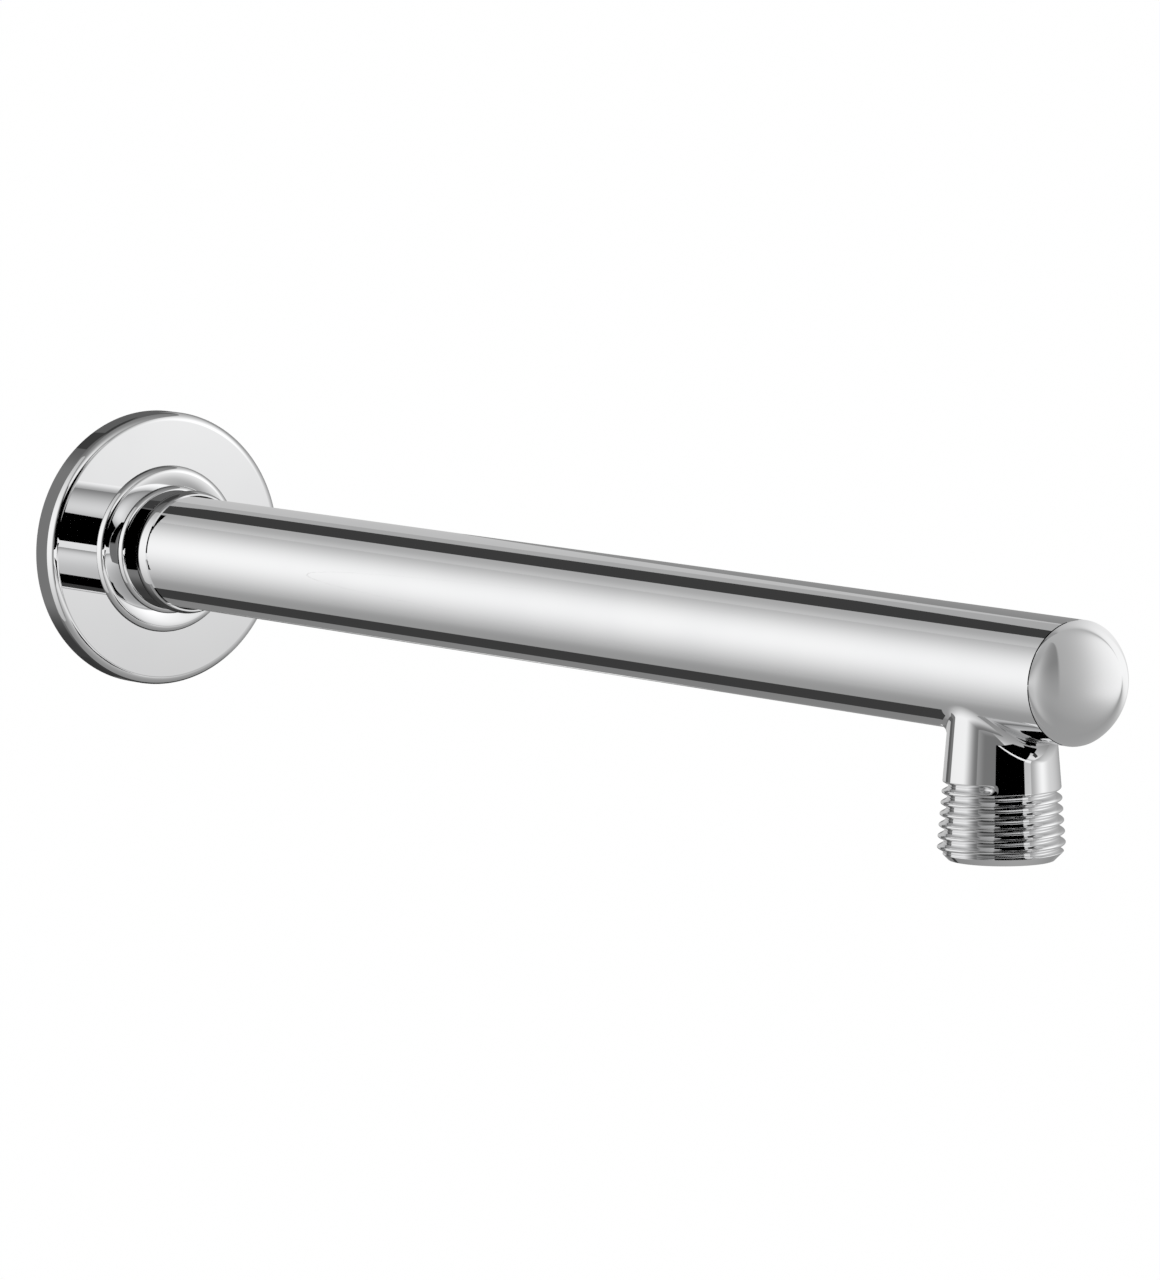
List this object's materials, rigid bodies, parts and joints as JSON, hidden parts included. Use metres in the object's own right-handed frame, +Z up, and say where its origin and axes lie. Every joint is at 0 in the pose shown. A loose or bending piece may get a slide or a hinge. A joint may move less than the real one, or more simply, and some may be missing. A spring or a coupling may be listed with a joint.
{
  "type": "shower arm",
  "caption": "Straight round wall shower arm with a stepped slip-on wall flange, a domed end and a threaded outlet that points down.",
  "frame": {"origin": "centre of the flange's back face, on the arm's axis in the wall plane, where the inlet thread starts", "axes": "-Y along the arm, out of the wall; +Y along the inlet thread, into the wall; +Z up, with the outlet pointing along -Z"},
  "size_m": [0.0507, 0.2969, 0.0558],
  "materials": {
    "polished_chrome": "mirror-polished chrome plate on brass",
    "seal_rubber": "matt black nitrile rubber"
  },
  "bodies": {
    "arm": {"arm": "polished_chrome", "end_cap": "polished_chrome"},
    "ring": {"flange_ring": "seal_rubber"},
    "flange": {"wall_flange": "polished_chrome"}
  },
  "joints": [
    {"name": "flange_slide", "type": "slide", "parent": "arm", "child": "ring", "axis": [0, -1, 0], "range_m": [0, 0.222]},
    {"name": "flange_turn", "type": "hinge", "parent": "ring", "child": "flange", "pos_m": [0, 0, 0], "axis": [0, -1, 0], "continuous": true}
  ]
}
